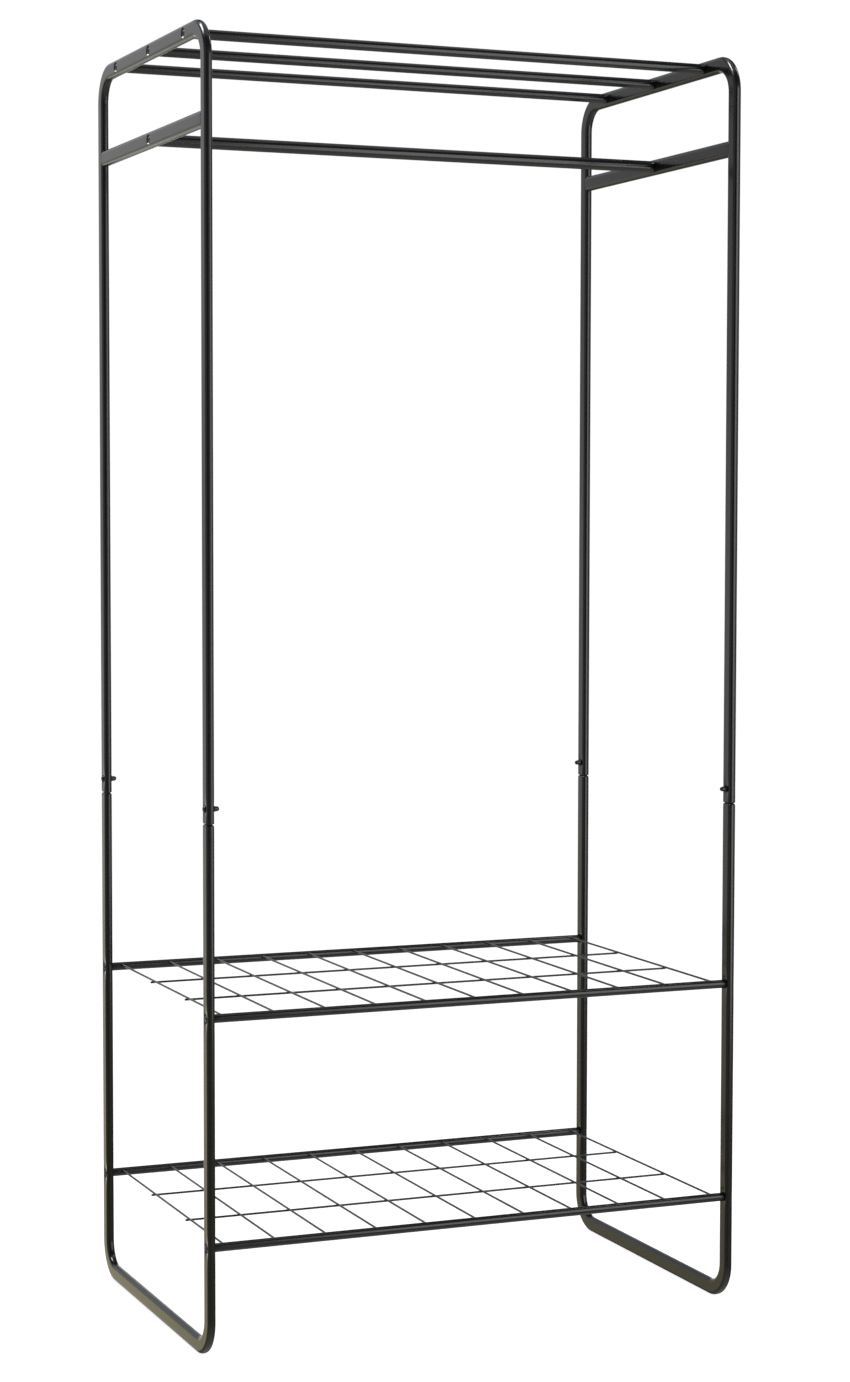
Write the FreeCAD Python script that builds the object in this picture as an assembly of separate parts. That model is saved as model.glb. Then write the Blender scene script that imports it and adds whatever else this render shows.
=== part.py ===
import FreeCAD, Part
import math
import os

# Garment rail: two upright side frames of flat-oval tube, each split at mid
# height, joined by three round top rails, one hanging rail and two wire
# shelves. Millimetres. X runs along the width, Y along the depth (-Y is the
# front), Z up from the floor. The origin is on the floor at the centre.

V = FreeCAD.Vector

# ---- driving dimensions ----------------------------------------------------
WIDTH = 800.0          # over the outer flats of the two side frames
TUBE_T = 11.5          # flat-oval tube, thickness across the flats (along X)
TUBE_B = 23.0          # flat-oval tube, width in the plane of the frame
TUBE_WALL = 1.2
LEG_Y = 242.0          # leg centrelines at +-LEG_Y
BEND_R = 43.0          # centreline radius of the four bends in each side frame
TOP_Z = 1786.5         # centreline of the top bars and the top rails
BOTTOM_Z = TUBE_B / 2  # centreline of the floor bars
JOINT_Z = 729.0        # line where the upper leg meets the lower leg
CROSS_Z = 1664.0       # centreline of the cross bars and the hanging rail

TOP_RAIL_D = 14.0
TOP_RAIL_WALL = 1.0
TOP_RAIL_Y = (-159.0, 0.0, 159.0)
HANG_RAIL_D = 17.5
HANG_RAIL_WALL = 1.2

SHELF_TUBE_D = 12.0
SHELF_TUBE_WALL = 1.0
SHELF_Z = {"upper": 466.0, "lower": 154.0}
WIRE_D = 3.0
WIRE_COUNT = 11
WIRE_PITCH = 74.6
WIRE_UP = 2.5          # cross wire centre above the shelf tube centre
WIRE_SINK = 0.25       # how far a long wire is welded up into a cross wire
LONG_WIRE_Y = (-80.7, 80.7)
LONG_WIRE_OVER = 3.8   # long wire past the outermost cross wire

DIMPLE_DEEP = 3.0      # recess for the rail and shelf bolts
DIMPLE_R1 = 7.5        # radius at the flat of the tube
DIMPLE_R2 = 5.5        # radius at the floor of the recess
SEAT_DEEP = 1.6        # recess that seats a shelf tube on the inner flat
SEAT_R1 = 7.9
SEAT_R2 = 6.35
JOINT_DEEP = 1.3       # shallow recess at each leg joint bolt, both flats
JOINT_R1 = 6.6
JOINT_R2 = 5.2
JOINT_BOLT_UP = 20.0   # joint bolt above the joint line

SPIGOT_T = 6.4
SPIGOT_B = 20.2
SPIGOT_H = 45.0
SPIGOT_WALL = 1.2

BOLT_D = 6.0
BOLT_HEAD_D = 9.8
BOLT_HEAD_H = 2.6
BOLT_HEX = 4.0
BOLT_REACH = 16.0      # thread past the inner flat
INSERT_L = 14.0
JBOLT_D = 5.0
JBOLT_HEAD_D = 9.4
JBOLT_HEAD_H = 3.3
JBOLT_HEX = 3.0
NUT_AF = 8.0
NUT_HEX_H = 4.2
NUT_H = 10.6
NUT_DOME_D = 6.8

# ---- derived ---------------------------------------------------------------
FRAME_X = WIDTH / 2 - TUBE_T / 2      # centre plane of each side frame
INNER_X = WIDTH / 2 - TUBE_T          # inner flat of each side frame
OUTER_X = WIDTH / 2
SIDES = {"left": -1, "right": 1}
os.makedirs("parts", exist_ok=True)


def save(name, shapes):
    """Write one named node: a single solid, or a group of separate solids."""
    if not isinstance(shapes, (list, tuple)):
        shapes = [shapes]
    solids = []
    for s in shapes:
        solids.extend(s.Solids)
    for s in solids:
        if not s.isValid():
            print("invalid solid in", name)
    out = solids[0] if len(solids) == 1 else Part.makeCompound(solids)
    out.exportStep(os.path.join("parts", name + ".step"))
    print("%-28s solids %2d  volume %10.1f" % (name, len(solids), sum(s.Volume for s in solids)))


def stadium(t, b, centre, long_axis):
    """Flat-oval face of thickness t along X and width b along long_axis."""
    r = t / 2
    h = (b - t) / 2
    lx = V(1, 0, 0)
    ly = V(*long_axis)

    def p(u, v):
        return centre + lx * u + ly * v

    edges = [
        Part.LineSegment(p(r, -h), p(r, h)).toShape(),
        Part.Arc(p(r, h), p(0, h + r), p(-r, h)).toShape(),
        Part.LineSegment(p(-r, h), p(-r, -h)).toShape(),
        Part.Arc(p(-r, -h), p(0, -h - r), p(r, -h)).toShape(),
    ]
    return Part.Face(Part.Wire(edges))


def u_solid(x, t, b, open_z, bar_z):
    """Solid flat-oval U: two legs from open_z to a bar at bar_z, bent at R."""
    up = 1 if bar_z > open_z else -1
    knee = bar_z - up * BEND_R
    flat_y = LEG_Y - BEND_R
    parts = []
    for s in (-1, 1):
        leg = stadium(t, b, V(x, s * LEG_Y, open_z), (0, 1, 0))
        parts.append(leg.extrude(V(0, 0, knee - open_z)))
        end = stadium(t, b, V(x, s * LEG_Y, knee), (0, 1, 0))
        # turn from the leg into the bar, about an axis along X
        parts.append(end.revolve(V(x, s * flat_y, knee), V(1, 0, 0), 90.0 * s * up))
    bar = stadium(t, b, V(x, flat_y, bar_z), (0, 0, 1))
    parts.append(bar.extrude(V(0, -2 * flat_y, 0)))
    return one(parts[0].fuse(parts[1:]).removeSplitter())


def one(shape):
    """The largest solid of a boolean result."""
    return sorted(shape.Solids, key=lambda q: -q.Volume)[0]


def cut_each(shape, tools):
    """Cut the tools one at a time; each must leave a solid and take material."""
    for tool in tools:
        before = shape.Volume
        for turn in (0.0, 17.0, 41.0, 73.0):
            t = tool.copy()
            c = t.BoundBox.Center
            t.rotate(c, V(1, 0, 0), turn)
            got = shape.cut(t)
            if not got.isNull() and got.Solids and 0 < got.Volume < before - 0.5:
                break
        else:
            print("cut failed at", c, before)
            continue
        shape = one(got)
    return shape


def cone_x(x_face, into, y, z, r1, r2, deep, before=0.6):
    """Cone along X that opens at x_face (radius r1) and runs inwards by deep."""
    slope = (r2 - r1) / deep
    return Part.makeCone(r1 - slope * before, r2, deep + before,
                         V(x_face - into * before, y, z), V(into, 0, 0))


def press(outer, inner, dimples, wall):
    """Press dimples: cut the outer form, keep the wall thickness behind each."""
    cuts, keeps = [], []
    for x_face, into, y, z, r1, r2, deep in dimples:
        slope = (r1 - r2) / deep
        side = wall * math.sqrt(1 + slope * slope)
        r_back = r1 + side - slope * (deep + wall)
        cuts.append(cone_x(x_face, into, y, z, r1, r2, deep))
        keeps.append(cone_x(x_face, into, y, z, r1 + side, r_back, deep + wall))
    return cut_each(outer, cuts), cut_each(inner, keeps)


def drill(shape, x0, x1, holes, d):
    lo, hi = min(x0, x1), max(x0, x1)
    return cut_each(shape, [Part.makeCylinder(d / 2, hi - lo, V(lo, y, z), V(1, 0, 0)) for y, z in holes])


def hexagon(af, x, into, y, z, length):
    r = af / math.sqrt(3)
    pts = [V(x, y + r * math.cos(math.radians(60 * k + 30)),
             z + r * math.sin(math.radians(60 * k + 30))) for k in range(7)]
    return Part.Face(Part.makePolygon(pts)).extrude(V(into * length, 0, 0))


def button_bolt(x_seat, into, y, z, d, head_d, head_h, hexa, shank):
    """Button-head bolt: the seat is at x_seat and the shank runs inwards."""
    # profile in (axis, radius); the axis is negative through the head
    r = head_d / 2
    rt = hexa * 0.78
    p = [(-head_h, 0), (-head_h, rt), (-0.5, r), (0, r), (0, d / 2),
         (shank - 0.8, d / 2), (shank, d / 2 - 0.8), (shank, 0)]
    q = [V(x_seat + into * a, y, z + b) for a, b in p]
    m = V(x_seat - into * (head_h * 0.80), y, z + (rt + (r - rt) * 0.62))
    edges = [Part.LineSegment(q[0], q[1]).toShape(), Part.Arc(q[1], m, q[2]).toShape()]
    for i in range(2, len(q) - 1):
        edges.append(Part.LineSegment(q[i], q[i + 1]).toShape())
    edges.append(Part.LineSegment(q[-1], q[0]).toShape())
    body = Part.Face(Part.Wire(edges)).revolve(V(x_seat, y, z), V(1, 0, 0), 360)
    if body.Volume < 0:
        body.reverse()
    sock = hexagon(hexa, x_seat - into * (head_h + 0.2), into, y, z, head_h * 0.62 + 0.2)
    return body.cut(sock)


def cap_nut(x_seat, into, y, z):
    """Domed cap nut with a blind bore, seated at x_seat."""
    corner = NUT_AF / math.sqrt(3)
    hexa = hexagon(NUT_AF, x_seat, into, y, z, NUT_HEX_H)
    # chamfer the corners on both faces
    turn = [(0, 0), (0, corner - 0.55), (0.55, corner + 0.05), (NUT_HEX_H - 0.7, corner + 0.05),
            (NUT_HEX_H, corner - 0.75), (NUT_HEX_H, 0)]
    q = [V(x_seat + into * a, y, z + b) for a, b in turn]
    form = Part.Face(Part.makePolygon(q + [q[0]])).revolve(V(x_seat, y, z), V(1, 0, 0), 360)
    if form.Volume < 0:
        form.reverse()
    hexa = hexa.common(form)
    rd = NUT_DOME_D / 2
    straight = NUT_H - rd
    col = Part.makeCylinder(rd, straight, V(x_seat, y, z), V(into, 0, 0))
    dome = Part.makeSphere(rd, V(x_seat + into * straight, y, z))
    nut = hexa.fuse([col, dome]).removeSplitter()
    bore = Part.makeCylinder(JBOLT_D / 2, NUT_H - 2.6, V(x_seat, y, z), V(into, 0, 0))
    return nut.cut(bore)


def pipe_x(d, wall, x0, x1, y, z):
    out = Part.makeCylinder(d / 2, x1 - x0, V(x0, y, z), V(1, 0, 0))
    return out.cut(Part.makeCylinder(d / 2 - wall, x1 - x0, V(x0, y, z), V(1, 0, 0)))


# ---- side frames -----------------------------------------------------------
def both_sides(name, shape):
    """The right-hand piece as modelled and its mirror image on the left."""
    save(name + "_right", shape)
    save(name + "_left", shape.mirror(V(0, 0, 0), V(1, 0, 0)))


# modelled on the right, where outwards is +X
s = 1
x = s * FRAME_X
xo = s * OUTER_X
xi = s * INNER_X
t2, b2 = TUBE_T - 2 * TUBE_WALL, TUBE_B - 2 * TUBE_WALL

# upper frame: an inverted U from the joint line
outer = u_solid(x, TUBE_T, TUBE_B, JOINT_Z, TOP_Z)
inner = u_solid(x, t2, b2, JOINT_Z - 2.0, TOP_Z)
zj = JOINT_Z + JOINT_BOLT_UP
dimples = [(xo, -s, y, TOP_Z, DIMPLE_R1, DIMPLE_R2, DIMPLE_DEEP) for y in TOP_RAIL_Y]
for y in (-LEG_Y, LEG_Y):
    dimples.append((xo, -s, y, zj, JOINT_R1, JOINT_R2, JOINT_DEEP))
    dimples.append((xi, s, y, zj, JOINT_R1, JOINT_R2, JOINT_DEEP))
outer, inner = press(outer, inner, dimples, TUBE_WALL)
frame = one(outer.cut(inner))
frame = drill(frame, xo + s, xi - s, [(y, TOP_Z) for y in TOP_RAIL_Y], BOLT_D + 0.3)
frame = drill(frame, xo + s, xi - s, [(-LEG_Y, zj), (LEG_Y, zj)], JBOLT_D + 0.3)
both_sides("upper_frame", frame)

# lower frame: a U on the floor, rounded shoulders and necked spigots on top
neck = [(0.0, 0.0), (2.2, 0.12), (3.2, 0.35), (3.8, 0.70)]   # rise, inset
z0 = JOINT_Z - neck[-1][0]
outer = u_solid(x, TUBE_T, TUBE_B, z0, BOTTOM_Z)
inner = u_solid(x, t2, b2, z0 - 2.0, BOTTOM_Z)
shelf_spots = [(y, z) for z in SHELF_Z.values() for y in (-LEG_Y, LEG_Y)]
dimples = []
for y, z in shelf_spots:
    dimples.append((xo, -s, y, z, DIMPLE_R1, DIMPLE_R2, DIMPLE_DEEP))
    dimples.append((xi, s, y, z, SEAT_R1, SEAT_R2, SEAT_DEEP))
outer, inner = press(outer, inner, dimples, TUBE_WALL)
add_out, add_in = [], []
it, ib = SPIGOT_T - 2 * SPIGOT_WALL, SPIGOT_B - 2 * SPIGOT_WALL
for y in (-LEG_Y, LEG_Y):
    for (h0, i0), (h1, i1) in zip(neck[:-1], neck[1:]):
        fa = stadium(TUBE_T - 2 * i0, TUBE_B - 2 * i0, V(x, y, z0 + h0), (0, 1, 0))
        fb = stadium(TUBE_T - 2 * i1, TUBE_B - 2 * i1, V(x, y, z0 + h1), (0, 1, 0))
        add_out.append(Part.makeLoft([fa.OuterWire, fb.OuterWire], True, True))
    add_out.append(stadium(SPIGOT_T, SPIGOT_B, V(x, y, JOINT_Z), (0, 1, 0)).extrude(V(0, 0, SPIGOT_H)))
    fa = stadium(t2, b2, V(x, y, z0 - 2.0), (0, 1, 0))
    fb = stadium(it, ib, V(x, y, JOINT_Z - 1.0), (0, 1, 0))
    add_in.append(Part.makeLoft([fa.OuterWire, fb.OuterWire], True, True))
    add_in.append(stadium(it, ib, V(x, y, JOINT_Z - 1.0), (0, 1, 0)).extrude(V(0, 0, SPIGOT_H + 2.0)))
outer = one(outer.fuse(add_out))
inner = one(inner.fuse(add_in))
frame = one(outer.cut(inner))
frame = drill(frame, xo + s, xi - s, shelf_spots, BOLT_D + 0.3)
frame = drill(frame, xo + s, xi - s, [(-LEG_Y, zj), (LEG_Y, zj)], JBOLT_D + 0.3)
both_sides("lower_frame", frame)

# cross bar under the top bar, ends coped onto the round noses of the legs
end_y = LEG_Y - TUBE_B / 2 + 4.5
outer = stadium(TUBE_T, TUBE_B, V(x, end_y, CROSS_Z), (0, 0, 1)).extrude(V(0, -2 * end_y, 0))
inner = stadium(t2, b2, V(x, end_y + 1, CROSS_Z), (0, 0, 1)).extrude(V(0, -2 * end_y - 2, 0))
outer, inner = press(outer, inner, [(xo, -s, 0.0, CROSS_Z, DIMPLE_R1, DIMPLE_R2, DIMPLE_DEEP)], TUBE_WALL)
bar = one(outer.cut(inner))
bar = drill(bar, xo + s, xi - s, [(0.0, CROSS_Z)], BOLT_D + 0.3)
legs = [stadium(TUBE_T, TUBE_B, V(x, y, CROSS_Z - 40), (0, 1, 0)).extrude(V(0, 0, 80))
        for y in (-LEG_Y, LEG_Y)]
for leg in legs:
    bar = one(bar.cut(leg))
both_sides("cross_bar", bar)

# ---- rails -----------------------------------------------------------------
for name, y in zip(("front", "middle", "back"), TOP_RAIL_Y):
    save("top_rail_" + name, pipe_x(TOP_RAIL_D, TOP_RAIL_WALL, -INNER_X, INNER_X, y, TOP_Z))
save("hanging_rail", pipe_x(HANG_RAIL_D, HANG_RAIL_WALL, -INNER_X, INNER_X, 0.0, CROSS_Z))

# ---- shelves ---------------------------------------------------------------
seat_x = INNER_X + SEAT_DEEP
for shelf, z in SHELF_Z.items():
    tubes = {}
    for name, y in (("front", -LEG_Y), ("back", LEG_Y)):
        tubes[name] = Part.makeCylinder(SHELF_TUBE_D / 2, 2 * seat_x, V(-seat_x, y, z), V(1, 0, 0))
        save("%s_shelf_%s_tube" % (shelf, name),
             pipe_x(SHELF_TUBE_D, SHELF_TUBE_WALL, -seat_x, seat_x, y, z))
    cross = []
    for k in range(WIRE_COUNT):
        xk = (k - (WIRE_COUNT - 1) / 2) * WIRE_PITCH
        w = Part.makeCylinder(WIRE_D / 2, 2 * LEG_Y, V(xk, -LEG_Y, z + WIRE_UP), V(0, 1, 0))
        w = w.cut([tubes["front"], tubes["back"]])
        cross.append(sorted(w.Solids, key=lambda q: -q.Volume)[0])
    save(shelf + "_shelf_cross_wires", cross)
    half = (WIRE_COUNT - 1) / 2 * WIRE_PITCH + LONG_WIRE_OVER
    longs = []
    for y in LONG_WIRE_Y:
        w = Part.makeCylinder(WIRE_D / 2, 2 * half, V(-half, y, z + WIRE_UP - WIRE_D + WIRE_SINK), V(1, 0, 0))
        w = w.cut(cross)
        longs.append(sorted(w.Solids, key=lambda q: -q.Volume)[0])
    save(shelf + "_shelf_long_wires", longs)


# ---- threaded inserts inside the rail and tube ends --------------------------
def inserts(d_in, x_end, places):
    out = []
    for s in (-1, 1):
        for y, z in places:
            a = s * x_end
            b = s * (x_end - INSERT_L)
            out.append(pipe_x(d_in, (d_in - BOLT_D) / 2, min(a, b), max(a, b), y, z))
    return out


save("top_rail_inserts", inserts(TOP_RAIL_D - 2 * TOP_RAIL_WALL, INNER_X, [(y, TOP_Z) for y in TOP_RAIL_Y]))
save("hanging_rail_inserts", inserts(HANG_RAIL_D - 2 * HANG_RAIL_WALL, INNER_X, [(0.0, CROSS_Z)]))
for shelf, z in SHELF_Z.items():
    save(shelf + "_shelf_inserts", inserts(SHELF_TUBE_D - 2 * SHELF_TUBE_WALL, seat_x,
                                           [(-LEG_Y, z), (LEG_Y, z)]))


# ---- bolts and nuts ----------------------------------------------------------
def side_bolt(s, y, z):
    x_seat = s * (OUTER_X - DIMPLE_DEEP)
    shank = TUBE_T - DIMPLE_DEEP + BOLT_REACH - 3.5
    return button_bolt(x_seat, -s, y, z, BOLT_D, BOLT_HEAD_D, BOLT_HEAD_H, BOLT_HEX, shank)


for side, s in SIDES.items():
    save("top_rail_bolts_" + side, [side_bolt(s, y, TOP_Z) for y in TOP_RAIL_Y])
save("hanging_rail_bolts", [side_bolt(s, 0.0, CROSS_Z) for s in (-1, 1)])
for shelf, z in SHELF_Z.items():
    save(shelf + "_shelf_bolts", [side_bolt(s, y, z) for s in (-1, 1) for y in (-LEG_Y, LEG_Y)])

joint_bolts, cap_nuts = [], []
for s in (-1, 1):
    for y in (-LEG_Y, LEG_Y):
        z = JOINT_Z + JOINT_BOLT_UP
        seat_out = s * (OUTER_X - JOINT_DEEP)
        seat_in = s * (INNER_X + JOINT_DEEP)
        grip = TUBE_T - 2 * JOINT_DEEP
        joint_bolts.append(button_bolt(seat_out, -s, y, z, JBOLT_D, JBOLT_HEAD_D, JBOLT_HEAD_H,
                                       JBOLT_HEX, grip + NUT_H - 3.4))
        cap_nuts.append(cap_nut(seat_in, -s, y, z))
save("leg_joint_bolts", joint_bolts)
save("leg_joint_cap_nuts", cap_nuts)
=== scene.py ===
import math

import bmesh
import bpy
import numpy as np
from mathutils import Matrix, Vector


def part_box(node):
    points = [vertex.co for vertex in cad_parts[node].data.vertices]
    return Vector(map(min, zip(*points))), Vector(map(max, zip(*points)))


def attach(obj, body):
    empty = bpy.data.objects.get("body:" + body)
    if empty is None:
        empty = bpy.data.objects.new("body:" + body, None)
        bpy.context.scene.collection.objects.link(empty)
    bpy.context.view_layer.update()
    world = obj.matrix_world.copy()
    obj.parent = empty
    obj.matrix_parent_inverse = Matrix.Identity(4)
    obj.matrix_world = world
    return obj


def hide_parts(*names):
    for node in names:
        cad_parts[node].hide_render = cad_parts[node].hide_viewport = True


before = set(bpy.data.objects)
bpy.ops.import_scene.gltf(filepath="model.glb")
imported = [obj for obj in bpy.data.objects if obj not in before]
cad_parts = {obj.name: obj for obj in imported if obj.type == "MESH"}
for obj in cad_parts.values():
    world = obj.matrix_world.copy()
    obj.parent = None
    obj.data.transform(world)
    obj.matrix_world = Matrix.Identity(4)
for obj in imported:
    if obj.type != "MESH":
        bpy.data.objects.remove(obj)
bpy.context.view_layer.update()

# ---------------------------------------------------------------- positions
MM = 0.001
A = 11.5 * MM          # flat-oval tube: thickness across the flats
B = 23.0 * MM          # flat-oval tube: width in the plane of the side frame


def mid(node, axis):
    lo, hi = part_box(node)
    return (lo[axis] + hi[axis]) / 2


uf_lo, uf_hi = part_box("upper_frame_right")
lf_lo, lf_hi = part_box("lower_frame_right")
OUT_X = uf_hi[0]                       # outer flat of the side frames
FR_X = OUT_X - A / 2                   # their centre planes
IN_X = OUT_X - A
LEG_Y = uf_hi[1] - B / 2
TOP_Z = uf_hi[2] - B / 2
BOT_Z = lf_lo[2] + B / 2
JOINT_Z = uf_lo[2]
CROSS_Z = mid("cross_bar_right", 2)
RAIL_Y = [mid("top_rail_front", 1), mid("top_rail_middle", 1), mid("top_rail_back", 1)]
SHELF_Z = [mid("upper_shelf_front_tube", 2), mid("lower_shelf_front_tube", 2)]
BEND_R = 43.0 * MM
JBOLT_Z = mid("leg_joint_bolts", 2)


# ---------------------------------------------------------------- materials
def nodes_of(name):
    m = bpy.data.materials.new(name)
    m.use_nodes = True
    nt = m.node_tree
    for n in list(nt.nodes):
        nt.nodes.remove(n)
    out = nt.nodes.new("ShaderNodeOutputMaterial")
    bs = nt.nodes.new("ShaderNodeBsdfPrincipled")
    nt.links.new(bs.outputs["BSDF"], out.inputs["Surface"])
    return m, nt, bs


def ramp(nt, fac, stops):
    r = nt.nodes.new("ShaderNodeValToRGB")
    while len(r.color_ramp.elements) < len(stops):
        r.color_ramp.elements.new(0.5)
    for e, (p, c) in zip(r.color_ramp.elements, stops):
        e.position = p
        e.color = (c[0], c[1], c[2], 1.0)
    nt.links.new(fac, r.inputs["Fac"])
    return r.outputs["Color"]


def noise(nt, scale, detail=2.0, rough=0.5):
    tc = nt.nodes.new("ShaderNodeTexCoord")
    n = nt.nodes.new("ShaderNodeTexNoise")
    n.inputs["Scale"].default_value = scale
    n.inputs["Detail"].default_value = detail
    n.inputs["Roughness"].default_value = rough
    nt.links.new(tc.outputs["Object"], n.inputs["Vector"])
    return n.outputs["Fac"]


def to_range(nt, fac, a, b, lo=0.3, hi=0.7):
    m = nt.nodes.new("ShaderNodeMapRange")
    m.inputs["From Min"].default_value = lo
    m.inputs["From Max"].default_value = hi
    m.inputs["To Min"].default_value = a
    m.inputs["To Max"].default_value = b
    nt.links.new(fac, m.inputs["Value"])
    return m.outputs["Result"]


def powder(name, dark=(0.0042, 0.0043, 0.0046), light=(0.0082, 0.0082, 0.0084), r0=0.165, r1=0.205, peel=0.08, grain=0.04):
    """Satin black powder coat: orange peel, a fine grain and slow changes of tone."""
    m, nt, bs = nodes_of(name)
    slow = noise(nt, 9.0, 3.0, 0.55)
    fine = noise(nt, 900.0, 2.0, 0.6)
    mixn = nt.nodes.new("ShaderNodeMath")
    mixn.operation = "MULTIPLY_ADD"
    nt.links.new(fine, mixn.inputs[0])
    mixn.inputs[1].default_value = 0.35
    nt.links.new(slow, mixn.inputs[2])
    col = ramp(nt, mixn.outputs[0], [(0.40, dark), (0.62, tuple((a + b) / 2 for a, b in zip(dark, light))), (0.86, light)])
    nt.links.new(col, bs.inputs["Base Color"])
    rn = noise(nt, 340.0, 3.0, 0.6)
    nt.links.new(to_range(nt, rn, r0, r1), bs.inputs["Roughness"])
    bs.inputs["Metallic"].default_value = 0.0
    bs.inputs["IOR"].default_value = 1.5
    bs.inputs["Specular IOR Level"].default_value = 0.5
    # orange peel of about 1.5 mm and a finer grain over it
    pe = noise(nt, 520.0, 2.0, 0.45)
    gr = noise(nt, 2600.0, 2.0, 0.5)
    b1 = nt.nodes.new("ShaderNodeBump")
    b1.inputs["Strength"].default_value = peel
    b1.inputs["Distance"].default_value = 0.00006
    nt.links.new(pe, b1.inputs["Height"])
    b2 = nt.nodes.new("ShaderNodeBump")
    b2.inputs["Strength"].default_value = grain
    b2.inputs["Distance"].default_value = 0.00002
    nt.links.new(gr, b2.inputs["Height"])
    nt.links.new(b1.outputs["Normal"], b2.inputs["Normal"])
    nt.links.new(b2.outputs["Normal"], bs.inputs["Normal"])
    return m


M_TUBE = powder("powder_coat_black")
M_WIRE = powder("powder_coat_wire", r0=0.20, r1=0.25, peel=0.10, grain=0.05)
M_BOLT = powder("black_fastener", dark=(0.006, 0.006, 0.0065), light=(0.012, 0.012, 0.0125), r0=0.15, r1=0.20, peel=0.05, grain=0.05)


# ---------------------------------------------------------------- mesh tools
class Builder:
    """Collects grids of points into one mesh."""

    def __init__(self):
        self.v = []
        self.f = []
        self.n = 0

    def grid(self, rings, close_ring=True, cap0=False, cap1=False, flip=False):
        """rings: array (k, m, 3). Quads between rings; optional flat caps."""
        rings = np.asarray(rings, float)
        k, m, _ = rings.shape
        base = self.n
        self.v.append(rings.reshape(-1, 3))
        self.n += k * m
        mm = m if close_ring else m - 1
        for i in range(k - 1):
            for j in range(mm):
                a = base + i * m + j
                b = base + i * m + (j + 1) % m
                c = base + (i + 1) * m + (j + 1) % m
                d = base + (i + 1) * m + j
                self.f.append((a, d, c, b) if flip else (a, b, c, d))
        if cap0:
            r = [base + j for j in range(m)]
            self.f.append(tuple(r if flip else r[::-1]))
        if cap1:
            r = [base + (k - 1) * m + j for j in range(m)]
            self.f.append(tuple(r[::-1] if flip else r))

    def build(self, name, mat, body="root", smooth=True, sharp=None):
        me = bpy.data.meshes.new(name)
        me.from_pydata([tuple(p) for p in np.vstack(self.v)], [], self.f)
        me.validate()
        bm = bmesh.new()
        bm.from_mesh(me)
        bmesh.ops.recalc_face_normals(bm, faces=bm.faces)
        if sharp is not None:
            lim = math.radians(sharp)
            for e in bm.edges:
                if len(e.link_faces) == 2 and e.calc_face_angle(0.0) > lim:
                    e.smooth = False
        bm.to_mesh(me)
        bm.free()
        for p in me.polygons:
            p.use_smooth = smooth
        me.update()
        ob = bpy.data.objects.new(name, me)
        bpy.context.scene.collection.objects.link(ob)
        me.materials.append(mat)
        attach(ob, body)
        return ob


def section(t, b, n_nose=20, n_flat=10):
    """Flat-oval outline in (u across the flats, v along the width), closed.
    The noses are a little flatter than half circles, so a soft edge shows
    where each flat turns into the nose."""
    rc = t * 0.40                   # corner radius
    pts = []
    hv = b / 2
    hu = t / 2
    rise = t * 0.13                 # crown of the nose
    # corner centres
    yc = hv - rise - rc * 0.92

    def nose(sign):
        # superellipse-like nose between the two flats
        out = []
        h = hv - yc
        p = 2.35
        for i in range(n_nose + 1):
            q = math.pi * i / n_nose
            cu, sv = math.cos(q), math.sin(q)
            out.append((hu * math.copysign(abs(cu) ** (2 / p), cu), sign * (yc + h * abs(sv) ** (2 / p))))
        return out

    top = nose(1)                   # from u=+hu to u=-hu at v=+
    bot = nose(-1)
    pts += top
    for i in range(1, n_flat):
        pts.append((-hu, yc - 2 * yc * i / n_flat))
    pts += bot[::-1]
    for i in range(1, n_flat):
        pts.append((hu, -yc + 2 * yc * i / n_flat))
    return np.array(pts)


def smooth01(x):
    x = np.clip(x, 0.0, 1.0)
    return x * x * (3 - 2 * x)


def dimple_depth(r, r1, r2, deep, lip=0.00035):
    """Pressed recess: flat floor inside r2, wall out to r1, rounded edges."""
    t = np.clip((r1 + lip - r) / (r1 - r2 + 2 * lip), 0.0, 1.0)
    return deep * smooth01(t)


def ring_steps(total, spots, coarse, fine, reach):
    """Positions along a path of that length, fine within reach of each spot."""
    s = 0.0
    out = [0.0]
    while s < total - 1e-9:
        d = min([abs(s - q) for q in spots] or [1e9])
        if d <= reach:
            step = fine
        else:
            step = min(coarse, max(fine, (d - reach) * 0.6))
        s = min(total, s + step)
        out.append(s)
    return np.array(out)


class UPath:
    """Leg, bend, bar, bend, leg, in the YZ plane at X = x."""

    def __init__(self, x, open_z, bar_z):
        self.x = x
        self.up = 1 if bar_z > open_z else -1
        self.oz = open_z
        self.kz = bar_z - self.up * BEND_R
        self.bz = bar_z
        self.leg = abs(self.kz - open_z)
        self.arc = math.pi / 2 * BEND_R
        self.fy = LEG_Y - BEND_R
        self.bar = 2 * self.fy
        self.total = 2 * self.leg + 2 * self.arc + self.bar

    def at(self, s):
        """(y, z, outward normal y, outward normal z) along the path."""
        up = self.up
        if s <= self.leg:
            return -LEG_Y, self.oz + up * s, -1.0, 0.0
        s1 = s - self.leg
        if s1 <= self.arc:
            q = s1 / BEND_R
            return (-self.fy - BEND_R * math.cos(q), self.kz + up * BEND_R * math.sin(q), -math.cos(q), up * math.sin(q))
        s2 = s1 - self.arc
        if s2 <= self.bar:
            return -self.fy + s2, self.bz, 0.0, float(up)
        s3 = s2 - self.bar
        if s3 <= self.arc:
            q = math.pi / 2 - s3 / BEND_R
            return (self.fy + BEND_R * math.cos(q), self.kz + up * BEND_R * math.sin(q), math.cos(q), up * math.sin(q))
        s4 = s3 - self.arc
        return LEG_Y, self.kz - up * s4, 1.0, 0.0

    def s_leg(self, y, z):
        d = abs(z - self.oz)
        return d if y < 0 else self.total - d

    def s_bar(self, y):
        return self.leg + self.arc + (y + self.fy)


SEC = section(A, B, 34, 24)


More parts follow.
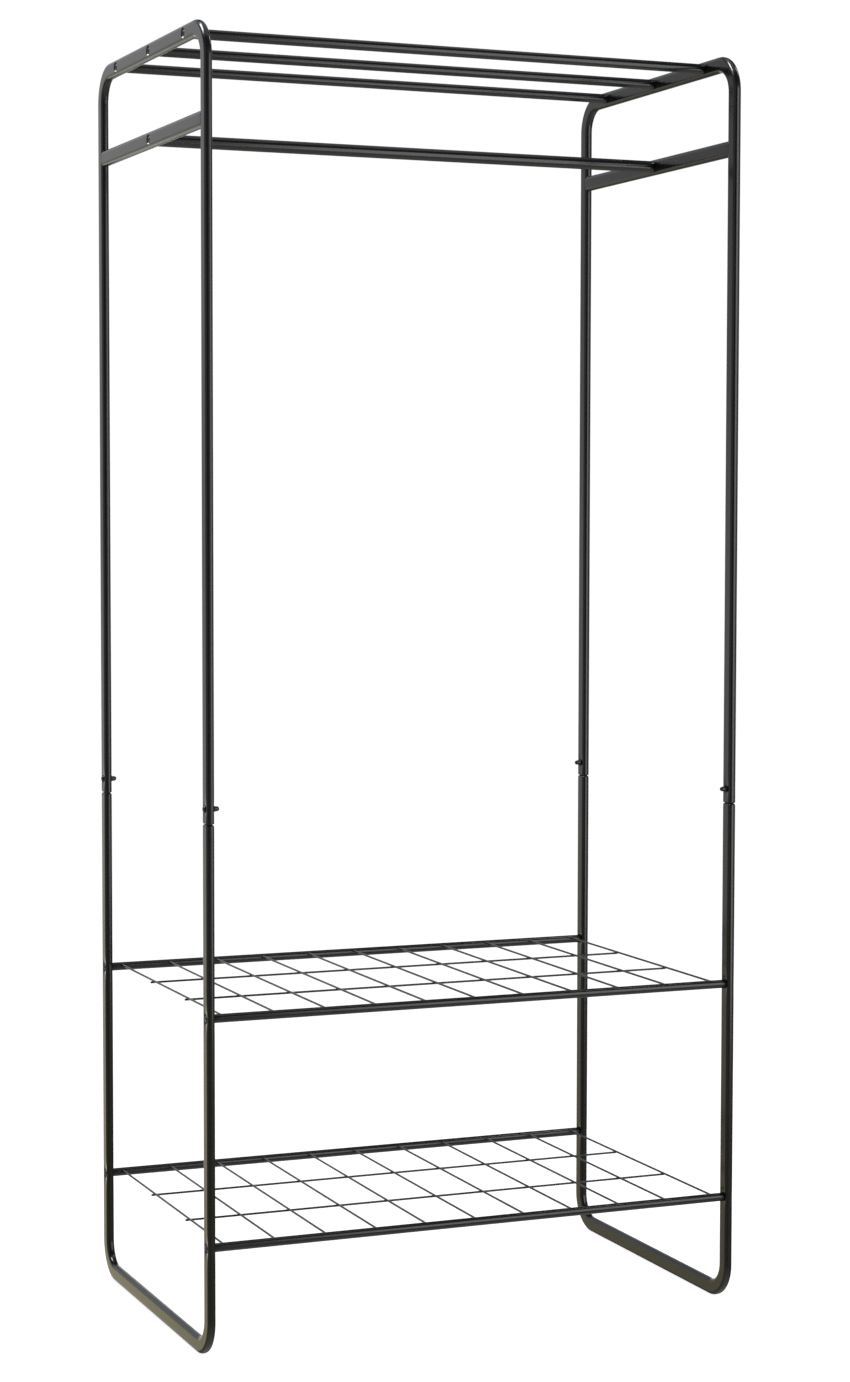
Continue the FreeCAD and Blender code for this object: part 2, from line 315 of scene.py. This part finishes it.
def u_mesh(bd, side, path, dimples, ends, coarse=0.012, fine=0.0004):
    """Sweep the flat-oval along the path. dimples: (s, face, r1, r2, deep, pinch).
    face +1 is the outer flat, -1 the inner flat. ends: profile of the ends."""
    spots = [d[0] for d in dimples]
    reach = 0.010
    ss = ring_steps(path.total, spots, coarse, fine, reach)
    # bends need close rings
    b0, b1 = path.leg, path.leg + path.arc
    b2, b3 = b1 + path.bar, b1 + path.bar + path.arc
    nb = 26
    extra = list(np.linspace(b0, b1, nb)) + list(np.linspace(b2, b3, nb))
    ss = np.array(sorted(set(list(np.round(ss, 6)) + [round(float(q), 6) for q in extra] + [round(float(q), 6) for q in ends["s"]])))
    keep = [ss[0]]
    for q in ss[1:]:
        if q - keep[-1] > 0.00012:
            keep.append(q)
    rings = []
    for s in keep:
        y, z, ny, nz = path.at(s)
        inset = ends["inset"](s)
        sec = SEC.copy()
        u = sec[:, 0].copy()
        v = sec[:, 1].copy()
        fu = (A / 2 - inset) / (A / 2)
        fv = (B / 2 - inset) / (B / 2)
        u *= fu
        v *= fv
        # pressed recesses push the skin inwards, most on their own flat
        for (s0, face, r1, r2, deep, pinch) in dimples:
            ds = s - s0
            if abs(ds) > 0.04:
                continue
            r = np.sqrt(ds * ds + v * v)
            own = np.clip(u * face / (A / 2), 0.0, 1.0)
            w = smooth01((own - 0.30) / 0.55)
            d = dimple_depth(r, r1, r2, deep)
            if pinch:
                pd, pl = pinch
                d = np.maximum(d, pd * np.exp(-(ds / pl) ** 2) * np.exp(-(v / (B * 0.33)) ** 4))
            u = u - face * d * w
        X = side * (FR_X + u)
        Y = y + ny * v
        Z = z + nz * v
        rings.append(np.stack([X, Y, Z], 1))
    bd.grid(rings, cap0=True, cap1=True)


def const_inset(_):
    return 0.0


def upper_ends():
    """Square-cut ends with a small radius at the joint line."""
    marks = [0.0, 0.0002, 0.0004, 0.0007, 0.0010, 0.0014, 0.0018]

    def inset(s, total):
        d = min(s, total - s)
        r = 0.0014
        return 0.0 if d >= r else (r - math.sqrt(max(0.0, r * r - (r - d) ** 2))) * 0.9

    return marks, inset


def lower_ends():
    """Rounded shoulder that draws in to the neck below the upper leg."""
    marks = [0.0, 0.0002, 0.0005, 0.0008, 0.0012, 0.0017, 0.0023, 0.0030, 0.0038]

    def inset(s, total):
        d = min(s, total - s)
        r = 0.0030
        return 0.0 if d >= r else (r - math.sqrt(max(0.0, r * r - (r - d) ** 2))) * 0.72

    return marks, inset


def make_frames():
    for side, tag in ((-1, "left"), (1, "right")):
        # upper frame
        p = UPath(side * FR_X, JOINT_Z, TOP_Z)
        dim = [(p.s_bar(y), 1, 0.0075, 0.0055, 0.0030, None) for y in RAIL_Y]
        for y in (-LEG_Y, LEG_Y):
            s = p.s_leg(y, JBOLT_Z)
            dim.append((s, 1, 0.0068, 0.0052, 0.0013, (0.0007, 0.011)))
            dim.append((s, -1, 0.0068, 0.0052, 0.0013, (0.0007, 0.011)))
        marks, ins = upper_ends()
        ends = {"s": marks + [p.total - m for m in marks], "inset": lambda s, t=p.total, f=ins: f(s, t)}
        bd = Builder()
        u_mesh(bd, side, p, dim, ends)
        # lower neck of the joint shows as a thin dark line: the spigot inside
        ob = bd.build("upper_frame_%s_tube" % tag, M_TUBE)
        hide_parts("upper_frame_%s" % tag)

        # lower frame with its necks
        p = UPath(side * FR_X, JOINT_Z - 0.0008, BOT_Z)
        dim = []
        for z in SHELF_Z:
            for y in (-LEG_Y, LEG_Y):
                s = p.s_leg(y, z)
                dim.append((s, 1, 0.0075, 0.0055, 0.0030, (0.0012, 0.013)))
                dim.append((s, -1, 0.0079, 0.00635, 0.0016, (0.0010, 0.012)))
        marks, ins = lower_ends()
        ends = {"s": marks + [p.total - m for m in marks], "inset": lambda s, t=p.total, f=ins: f(s, t)}
        bd = Builder()
        u_mesh(bd, side, p, dim, ends)
        for y in (-LEG_Y, LEG_Y):
            zz = [JOINT_Z - 0.003, JOINT_Z + 0.044, JOINT_Z + 0.045]
            k = [1.0, 1.0, 0.9]
            rings = []
            for z, q in zip(zz, k):
                rings.append(np.stack([side * FR_X + SEC[:, 0] * (6.4 / 11.5) * q,
                                       y + SEC[:, 1] * (20.2 / 23.0) * q,
                                       np.full(len(SEC), z)], 1))
            bd.grid(rings, cap0=True, cap1=True)
        ob = bd.build("lower_frame_%s_tube" % tag, M_TUBE)
        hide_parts("lower_frame_%s" % tag)

        # cross bar, its ends coped onto the legs, with a weld fillet round each
        bd = Builder()
        nose = LEG_Y - A / 2 - (B / 2 - A / 2)
        ys = ring_steps(2 * LEG_Y, [LEG_Y], 0.02, 0.0006, 0.010)
        lo_y, hi_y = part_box("cross_bar_%s" % tag)[0][1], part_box("cross_bar_%s" % tag)[1][1]
        # the flats run on over the nose of the leg, to its own flats
        over = 0.5 * (hi_y - lo_y)
        over = max(0.0, LEG_Y - (B / 2 - A / 2) + 0.0010 - over)
        lo_y, hi_y = lo_y - over, hi_y + over
        span = hi_y - lo_y
        steps = ring_steps(span, [span / 2], 0.02, 0.0004, 0.010)
        steps = np.array(sorted(set(list(steps) + [0.0016, 0.0032, span - 0.0016, span - 0.0032])))
        rings = []
        for s in steps:
            y = lo_y + s
            u = SEC[:, 0].copy()
            v = SEC[:, 1].copy()
            u *= 1.0 - 0.022 * smooth01(1.0 - min(s, span - s) / 0.0032)
            r = np.sqrt((y - 0.0) ** 2 + v * v)
            w = smooth01((np.clip(u / (A / 2), 0, 1) - 0.3) / 0.55)
            u = u - dimple_depth(r, 0.0075, 0.0055, 0.0030) * w
            rings.append(np.stack([side * (FR_X + u), np.full(len(u), y), CROSS_Z + v], 1))
        bd.grid(rings, cap0=True, cap1=True)
        for e in (-1, 1):
            weld_ring(bd, side, e)
        ob = bd.build("cross_bar_%s_tube" % tag, M_TUBE)
        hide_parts("cross_bar_%s" % tag)


def weld_ring(bd, side, e):
    """Fillet bead round the end of a cross bar, on the nose of the leg."""
    rng = np.random.default_rng(7 + (side > 0) * 2 + (e > 0))
    n = len(SEC)
    cen_y = e * (LEG_Y - (B / 2 - A / 2))
    m = 10
    size = 0.0005
    ph = rng.uniform(0, 6.28, 3)
    rings = []
    # cumulative length round the section, for the ripple of the bead
    d = np.sqrt((np.diff(np.vstack([SEC, SEC[:1]]), axis=0) ** 2).sum(1))
    t = np.concatenate([[0], np.cumsum(d)[:-1]])
    for k in range(m):
        q = 2 * math.pi * k / m
        rr = size * (1 + 0.12 * np.sin(t / 0.0011 + ph[0]) + 0.08 * np.sin(t / 0.0031 + ph[1]))
        u0 = SEC[:, 0]
        v0 = SEC[:, 1]
        # outward direction of the section
        nx = np.roll(v0, -1) - np.roll(v0, 1)
        nv = -(np.roll(u0, -1) - np.roll(u0, 1))
        ln = np.sqrt(nx * nx + nv * nv) + 1e-12
        nx, nv = nx / ln, nv / ln
        sgn = np.sign(nx * u0 + nv * v0).mean()
        nx, nv = nx * (1 if sgn > 0 else -1), nv * (1 if sgn > 0 else -1)
        # where the leg's nose is, seen along Y from each point of the section
        uu = np.clip(np.abs(u0), 0, A / 2 * 0.985)
        yy = cen_y - e * np.sqrt(np.maximum((A / 2) ** 2 - uu ** 2, 0.0))
        yy = yy - e * 0.0002
        out = -0.0003 + 0 * u0
        rings.append(np.stack([side * (FR_X + u0 + nx * (out + rr * math.cos(q))),
                               yy - e * rr * 1.15 * math.sin(q) * 1.0,
                               CROSS_Z + v0 + nv * (out + rr * math.cos(q))], 1))
    rings.append(rings[0])
    bd.grid(np.array(rings))


def tube_x(bd, y, z, d, x0, x1, nseg=48, bevel=0.0004):
    """Round tube along X between two faces, its ends eased."""
    r = d / 2
    q = np.linspace(0, 2 * math.pi, nseg, endpoint=False)
    xs = [x0, x0 + bevel * 0.3, x0 + bevel]
    n = 24
    xs += list(np.linspace(x0 + 0.01, x1 - 0.01, n))
    xs += [x1 - bevel, x1 - bevel * 0.3, x1]
    rs = [r - bevel * 0.7, r - bevel * 0.25, r] + [r] * n + [r, r - bevel * 0.25, r - bevel * 0.7]
    rings = [np.stack([np.full(nseg, x), y + rr * np.cos(q), z + rr * np.sin(q)], 1) for x, rr in zip(xs, rs)]
    bd.grid(rings, cap0=True, cap1=True)


def make_rails():
    for name in ("top_rail_front", "top_rail_middle", "top_rail_back", "hanging_rail"):
        lo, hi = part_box(name)
        bd = Builder()
        tube_x(bd, (lo[1] + hi[1]) / 2, (lo[2] + hi[2]) / 2, hi[2] - lo[2], lo[0], hi[0], 56)
        ob = bd.build(name + "_tube", M_TUBE, sharp=40)
        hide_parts(name)


def wire(bd, p0, p1, r, nseg=16, n=2, dome=True, wob=0.0, rng=None):
    """Straight round wire from p0 to p1 with slightly domed sheared ends."""
    p0, p1 = np.array(p0, float), np.array(p1, float)
    d = p1 - p0
    L = np.linalg.norm(d)
    d = d / L
    up = np.array([0, 0, 1.0])
    a = np.cross(up, d)
    a /= np.linalg.norm(a)
    b = np.cross(d, a)
    q = np.linspace(0, 2 * math.pi, nseg, endpoint=False)
    ts = [0.0]
    rs = [r * 0.55]
    if dome:
        ts += [r * 0.12, r * 0.35, r * 0.7]
        rs += [r * 0.8, r * 0.94, r]
    mids = list(np.linspace(r, L - r, max(2, n)))
    ts += mids
    rs += [r] * len(mids)
    if dome:
        ts += [L - r * 0.7, L - r * 0.35, L - r * 0.12]
        rs += [r, r * 0.94, r * 0.8]
    ts += [L]
    rs += [r * 0.55]
    rings = [p0 + d * t + rr * (np.cos(q)[:, None] * a + np.sin(q)[:, None] * b) for t, rr in zip(ts, rs)]
    bd.grid(rings, cap0=True, cap1=True)


def blob(bd, c, rx, ry, rz, n=8, m=14):
    """Small rounded weld bead."""
    c = np.array(c, float)
    q = np.linspace(0, 2 * math.pi, m, endpoint=False)
    rings = []
    for i in range(n + 1):
        t = -math.pi / 2 + math.pi * i / n
        k = max(math.cos(t), 0.02)
        rings.append(np.stack([c[0] + rx * k * np.cos(q), c[1] + ry * math.sin(t) + 0 * q, c[2] + rz * k * np.sin(q)], 1))
    bd.grid(rings, cap0=True, cap1=True)


def make_shelves():
    rng = np.random.default_rng(11)
    for shelf, z in zip(("upper", "lower"), SHELF_Z):
        for where in ("front", "back"):
            node = "%s_shelf_%s_tube" % (shelf, where)
            lo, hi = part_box(node)
            bd = Builder()
            tube_x(bd, (lo[1] + hi[1]) / 2, (lo[2] + hi[2]) / 2, hi[2] - lo[2], lo[0], hi[0], 44)
            ob = bd.build(node + "_round", M_TUBE, sharp=40)
            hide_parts(node)
        tube_r = (hi[2] - lo[2]) / 2
        lo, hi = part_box("%s_shelf_cross_wires" % shelf)
        wr = (hi[2] - lo[2]) / 2
        zc = (lo[2] + hi[2]) / 2
        x_lo, x_hi = lo[0] + wr, hi[0] - wr
        xs = np.linspace(x_lo, x_hi, 11)
        y_end = LEG_Y - math.sqrt(tube_r ** 2 - (zc - z) ** 2)
        bd = Builder()
        for x in xs:
            jit = rng.uniform(-0.0004, 0.0004, 2)
            wire(bd, (x + jit[0], -y_end - 0.0003, zc), (x + jit[1], y_end + 0.0003, zc), wr, 16, 6)
            for e in (-1, 1):
                s = rng.uniform(0.85, 1.15)
                xx = x + (jit[0] if e < 0 else jit[1])
                blob(bd, (xx, e * (y_end - 0.0006), zc - 0.0004), wr * 1.32 * s, 0.0024, wr * 1.22)
        ob = bd.build("%s_shelf_cross_wires_round" % shelf, M_WIRE)
        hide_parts("%s_shelf_cross_wires" % shelf)
        lo2, hi2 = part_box("%s_shelf_long_wires" % shelf)
        zl = lo2[2] + wr
        bd = Builder()
        for y in (lo2[1] + wr, hi2[1] - wr):
            wire(bd, (lo2[0], y, zl), (hi2[0], y, zl), wr, 16, 12)
            for x in xs:
                blob(bd, (x, y, (zl + zc) / 2), wr * 0.95, wr * 0.95, wr * 0.62)
        ob = bd.build("%s_shelf_long_wires_round" % shelf, M_WIRE)
        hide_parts("%s_shelf_long_wires" % shelf)


def hex_r(q, af):
    k = (q + math.pi / 6) % (math.pi / 3) - math.pi / 6
    return (af / 2) / np.cos(k)


def bolt_head(bd, x_seat, out, y, z, d, h, af, turn=0.0):
    """Button head with a hexagon socket; out is the way the head faces."""
    n = 48
    q = np.linspace(0, 2 * math.pi, n, endpoint=False) + turn
    r = d / 2
    rt = af * 0.5 / math.cos(math.pi / 6) + 0.0005
    prof = []
    for i in range(9):
        t = i / 8 * math.pi / 2
        prof.append((0.0004 + (h - 0.0004) * math.sin(t), rt + (r - rt) * math.cos(t) ** 0.85))
    rings = [np.stack([np.full(n, x_seat), y + (r - 0.0003) * np.cos(q), z + (r - 0.0003) * np.sin(q)], 1),
             np.stack([np.full(n, x_seat + out * 0.0002), y + r * np.cos(q), z + r * np.sin(q)], 1)]
    for a, rr in prof:
        rings.append(np.stack([np.full(n, x_seat + out * a), y + rr * np.cos(q), z + rr * np.sin(q)], 1))
    hr = hex_r(q - turn, af)
    for a, k in ((h, 1.06), (h - 0.0002, 1.0), (h * 0.40, 0.99), (h * 0.36, 0.93)):
        rings.append(np.stack([np.full(n, x_seat + out * a), y + hr * k * np.cos(q), z + hr * k * np.sin(q)], 1))
    rings.append(np.stack([np.full(n, x_seat + out * h * 0.22), y + 0.0002 * np.cos(q), z + 0.0002 * np.sin(q)], 1))
    bd.grid(rings, cap0=True, cap1=True)


def shank(bd, x0, x1, y, z, d):
    n = 20
    q = np.linspace(0, 2 * math.pi, n, endpoint=False)
    rings = [np.stack([np.full(n, x), y + r * np.cos(q), z + r * np.sin(q)], 1)
             for x, r in ((x0, d / 2), (x0 * 0.02 + x1 * 0.98, d / 2), (x1, d / 2 * 0.8))]
    bd.grid(rings, cap0=True, cap1=True)


def make_bolts():
    rng = np.random.default_rng(5)
    seat = OUT_X - 0.003
    groups = {
        "top_rail_bolts_left": [(-1, y, TOP_Z) for y in RAIL_Y],
        "top_rail_bolts_right": [(1, y, TOP_Z) for y in RAIL_Y],
        "hanging_rail_bolts": [(s, 0.0, CROSS_Z) for s in (-1, 1)],
        "upper_shelf_bolts": [(s, y, SHELF_Z[0]) for s in (-1, 1) for y in (-LEG_Y, LEG_Y)],
        "lower_shelf_bolts": [(s, y, SHELF_Z[1]) for s in (-1, 1) for y in (-LEG_Y, LEG_Y)],
    }
    for node, spots in groups.items():
        bd = Builder()
        for s, y, z in spots:
            bolt_head(bd, s * seat, s, y, z, 0.0098, 0.0026, 0.0040, rng.uniform(0, 1.0))
            shank(bd, s * seat, s * (seat - 0.020), y, z, 0.0058)
        ob = bd.build(node + "_heads", M_BOLT, sharp=38)
        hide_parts(node)
    bd = Builder()
    bn = Builder()
    for s in (-1, 1):
        for y in (-LEG_Y, LEG_Y):
            x = s * (OUT_X - 0.0013)
            bolt_head(bd, x, s, y, JBOLT_Z, 0.0094, 0.0033, 0.0030, rng.uniform(0, 1.0))
            shank(bd, x, s * (OUT_X - 0.0165), y, JBOLT_Z, 0.0048)
            cap_nut(bn, s * (IN_X + 0.0013), -s, y, JBOLT_Z, rng.uniform(0, 1.0))
    ob = bd.build("leg_joint_bolts_heads", M_BOLT, sharp=38)
    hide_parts("leg_joint_bolts")
    ob = bn.build("leg_joint_cap_nuts_domed", M_BOLT, sharp=38)
    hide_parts("leg_joint_cap_nuts")


def cap_nut(bd, x, out, y, z, turn):
    """Hexagon with chamfered corners, a short collar and a dome."""
    n = 72
    q = np.linspace(0, 2 * math.pi, n, endpoint=False)
    af = 0.008
    corner = af / math.sqrt(3)
    hr = hex_r(q, af)
    h = 0.0042
    dome_r = 0.0034
    rings = []

    def ring(a, rr):
        rings.append(np.stack([np.full(n, x + out * a), y + rr * np.cos(q + turn), z + rr * np.sin(q + turn)], 1))

    ring(0.0, np.minimum(hr, corner - 0.0006))
    ring(0.0003, np.minimum(hr, corner - 0.0001))
    ring(0.0007, hr)
    ring(h - 0.0010, hr)
    ring(h - 0.0006, np.minimum(hr, corner - 0.0002))
    ring(h - 0.0002, np.minimum(hr, corner - 0.0006))
    ring(h, np.minimum(hr, af / 2 - 0.00005) + 0 * q)
    ring(h + 0.0001, np.full(n, dome_r + 0.0002))
    top = 0.0106
    base = top - dome_r
    ring(base, np.full(n, dome_r))
    for i in range(1, 9):
        t = i / 8 * math.pi / 2
        ring(base + dome_r * math.sin(t), np.full(n, max(dome_r * math.cos(t), 0.00012)))
    bd.grid(rings, cap0=True, cap1=True)


make_frames()
make_rails()
make_shelves()
make_bolts()

# threaded inserts stay as the CAD has them, inside the tube ends
m, nt, bs = nodes_of("zinc_insert")
nz = noise(nt, 300.0, 3.0)
nt.links.new(ramp(nt, nz, [(0.3, (0.42, 0.42, 0.44)), (0.7, (0.58, 0.58, 0.60))]), bs.inputs["Base Color"])
bs.inputs["Metallic"].default_value = 1.0
nt.links.new(to_range(nt, noise(nt, 150.0, 3.0), 0.3, 0.5), bs.inputs["Roughness"])
for node in ("top_rail_inserts", "hanging_rail_inserts", "upper_shelf_inserts", "lower_shelf_inserts"):
    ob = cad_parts[node]
    for i in range(len(ob.material_slots)):
        ob.material_slots[i].material = m

# ---------------------------------------------------------------- stage
m, nt, bs = nodes_of("floor_pale")
fn = noise(nt, 1.6, 3.0)
nt.links.new(ramp(nt, fn, [(0.3, (0.80, 0.80, 0.80)), (0.7, (0.82, 0.82, 0.82))]), bs.inputs["Base Color"])
bs.inputs["Roughness"].default_value = 0.9
bs.inputs["Specular IOR Level"].default_value = 0.1
bs.inputs["Emission Color"].default_value = (1.0, 1.0, 1.0, 1.0)
bs.inputs["Emission Strength"].default_value = 0.90
me = bpy.data.meshes.new("floor")
s = 40.0
me.from_pydata([(-s, -s, 0), (s, -s, 0), (s, s, 0), (-s, s, 0)], [], [(0, 1, 2, 3)])
floor = bpy.data.objects.new("floor", me)
bpy.context.scene.collection.objects.link(floor)
me.materials.append(m)
floor.visible_glossy = False            # the floor in reflections comes from the studio below

# ---------------------------------------------------------------- light
# a white cyclorama behind, grey walls at the sides, a dark ceiling
world = bpy.data.worlds.new("studio")
bpy.context.scene.world = world
world.use_nodes = True
nt = world.node_tree
for n in list(nt.nodes):
    nt.nodes.remove(n)
wo = nt.nodes.new("ShaderNodeOutputWorld")
bg = nt.nodes.new("ShaderNodeBackground")
tc = nt.nodes.new("ShaderNodeTexCoord")


def math_node(op, a, b=None, c=None):
    n = nt.nodes.new("ShaderNodeMath")
    n.operation = op
    for i, q in enumerate((a, b, c)):
        if q is None:
            continue
        if isinstance(q, (int, float)):
            n.inputs[i].default_value = q
        else:
            nt.links.new(q, n.inputs[i])
    return n.outputs[0]


def dot_dir(heading, elev=0.0):
    h, e = math.radians(heading), math.radians(elev)
    n = nt.nodes.new("ShaderNodeVectorMath")
    n.operation = "DOT_PRODUCT"
    nt.links.new(tc.outputs["Generated"], n.inputs[0])
    n.inputs[1].default_value = (math.cos(h) * math.cos(e), math.sin(h) * math.cos(e), math.sin(e))
    return n.outputs["Value"]


def band(val, lo, hi, a, b):
    n = nt.nodes.new("ShaderNodeMapRange")
    n.interpolation_type = "SMOOTHSTEP"
    n.inputs["From Min"].default_value = lo
    n.inputs["From Max"].default_value = hi
    n.inputs["To Min"].default_value = a
    n.inputs["To Max"].default_value = b
    nt.links.new(val, n.inputs["Value"])
    return n.outputs["Result"]


sep = nt.nodes.new("ShaderNodeSeparateXYZ")
nt.links.new(tc.outputs["Generated"], sep.inputs[0])
up = sep.outputs["Z"]
walls = band(up, 0.25, 0.62, 0.42, 0.07)                     # side walls fade to a dark ceiling
front = band(dot_dir(241.5), 0.80, 0.97, 1.0, 0.10)          # dim side behind the camera
walls = math_node("MULTIPLY", walls, front)
# below the horizon: a dark floor behind, a mid-grey one in front, pale underfoot
low_back = band(up, -0.95, -0.50, 0.68, 0.17)
low_front = band(up, -0.95, -0.15, 0.68, 0.30)
low_front = math_node("MULTIPLY", low_front, band(dot_dir(241.5, -4.0), 0.86, 0.99, 1.0, 0.55))
turn = band(dot_dir(241.5), -0.25, 0.35, 0.0, 1.0)
low = math_node("ADD", math_node("MULTIPLY", low_back, math_node("SUBTRACT", 1.0, turn)),
                math_node("MULTIPLY", low_front, turn))
below = band(up, -0.20, -0.02, 1.0, 0.0)
walls = math_node("ADD", math_node("MULTIPLY", walls, math_node("SUBTRACT", 1.0, below)),
                  math_node("MULTIPLY", low, below))
side = band(dot_dir(100.0, 24.0), 0.90, 0.975, 0.0, 0.40)      # pale wall, upper left
walls = math_node("ADD", walls, side)
pool = band(dot_dir(98.0, -13.5), 0.968, 0.9945, 0.0, 0.85)    # lit floor on the left
walls = math_node("ADD", walls, pool)
rim = band(dot_dir(88.0, -12.0), 0.974, 0.990, 0.0, 1.0)       # its bright middle, seen in the undersides of the bars
walls = math_node("ADD", walls, math_node("MULTIPLY", rim, 0.7))
verge = band(dot_dir(121.0, -10.0), 0.960, 0.990, 0.0, 0.38)   # its dimmer edge further round
walls = math_node("ADD", walls, verge)
back = band(dot_dir(67.5, -2.0), 0.925, 0.970, 0.0, 1.0)     # white cyclorama behind
back = math_node("MULTIPLY", back, band(up, -0.10, -0.035, 0.0, 1.0))
total = math_node("ADD", math_node("MULTIPLY", walls, math_node("SUBTRACT", 1.0, back)), math_node("MULTIPLY", back, 1.02))
nt.links.new(total, bg.inputs["Strength"])
tint = ramp(nt, up, [(0.20, (1.0, 1.0, 1.0)), (0.55, (0.78, 0.95, 1.18))])   # cooler overhead
cool = math_node("ADD", band(up, -0.24, -0.06, 0.0, 1.0), band(up, -0.55, -0.30, 0.80, 0.0))
cool = math_node("ADD", cool, rim)
floor_warm = ramp(nt, cool, [(0.0, (1.0, 0.91, 0.58)), (1.0, (1.0, 1.0, 1.0))])   # pale wood-warm floor
both = nt.nodes.new("ShaderNodeMix")
both.data_type = "RGBA"
both.blend_type = "MULTIPLY"
both.inputs["Factor"].default_value = 1.0
nt.links.new(tint, both.inputs["A"])
nt.links.new(floor_warm, both.inputs["B"])
nt.links.new(both.outputs["Result"], bg.inputs["Color"])
nt.links.new(bg.outputs["Background"], wo.inputs["Surface"])


def area(name, loc, target, size, size_y, radiance):
    li = bpy.data.lights.new(name, "AREA")
    li.shape = "RECTANGLE"
    li.size = size
    li.size_y = size_y
    li.energy = radiance * math.pi * size * size_y
    ob = bpy.data.objects.new(name, li)
    ob.location = loc
    d = Vector(target) - Vector(loc)
    ob.rotation_euler = d.to_track_quat("-Z", "Y").to_euler()
    ob.visible_camera = False
    bpy.context.scene.collection.objects.link(ob)
    return ob


area("key_front_right", (1.25, -2.35, 1.25), (0, 0, 1.25), 1.25, 2.5, 2.5)
area("top_soft", (0.0, 0.2, 4.2), (0, 0, 0), 3.0, 3.0, 0.7)
glint = area("window_upper_left", (-1.45, 0.50, 3.90), (-0.40, 0.0, 1.78), 1.3, 1.3, 20.0)
glint.visible_diffuse = False            # only for the glints in the recesses and on the bends
area("window_upper_right", (2.05, -0.30, 3.45), (0.35, 0.0, 1.6), 0.5, 0.8, 8.0)

# ---------------------------------------------------------------- camera
cd = bpy.data.cameras.new("camera")
cam = bpy.data.objects.new("camera", cd)
bpy.context.scene.collection.objects.link(cam)
cd.sensor_fit = "AUTO"
cd.sensor_width = 36.0
cd.lens = 2864.0 * 36.0 / 1382.0
W = 2 * FR_X
cam.location = (-2.0158 * W, -4.9118 * W, 1.4258 * W + BOT_Z)
cam.rotation_mode = "XYZ"
cam.rotation_euler = (math.radians(90 - 3.426), math.radians(-0.091), math.radians(-22.554))
cd.clip_end = 100
bpy.context.scene.camera = cam
bpy.context.scene.view_settings.view_transform = "Standard"
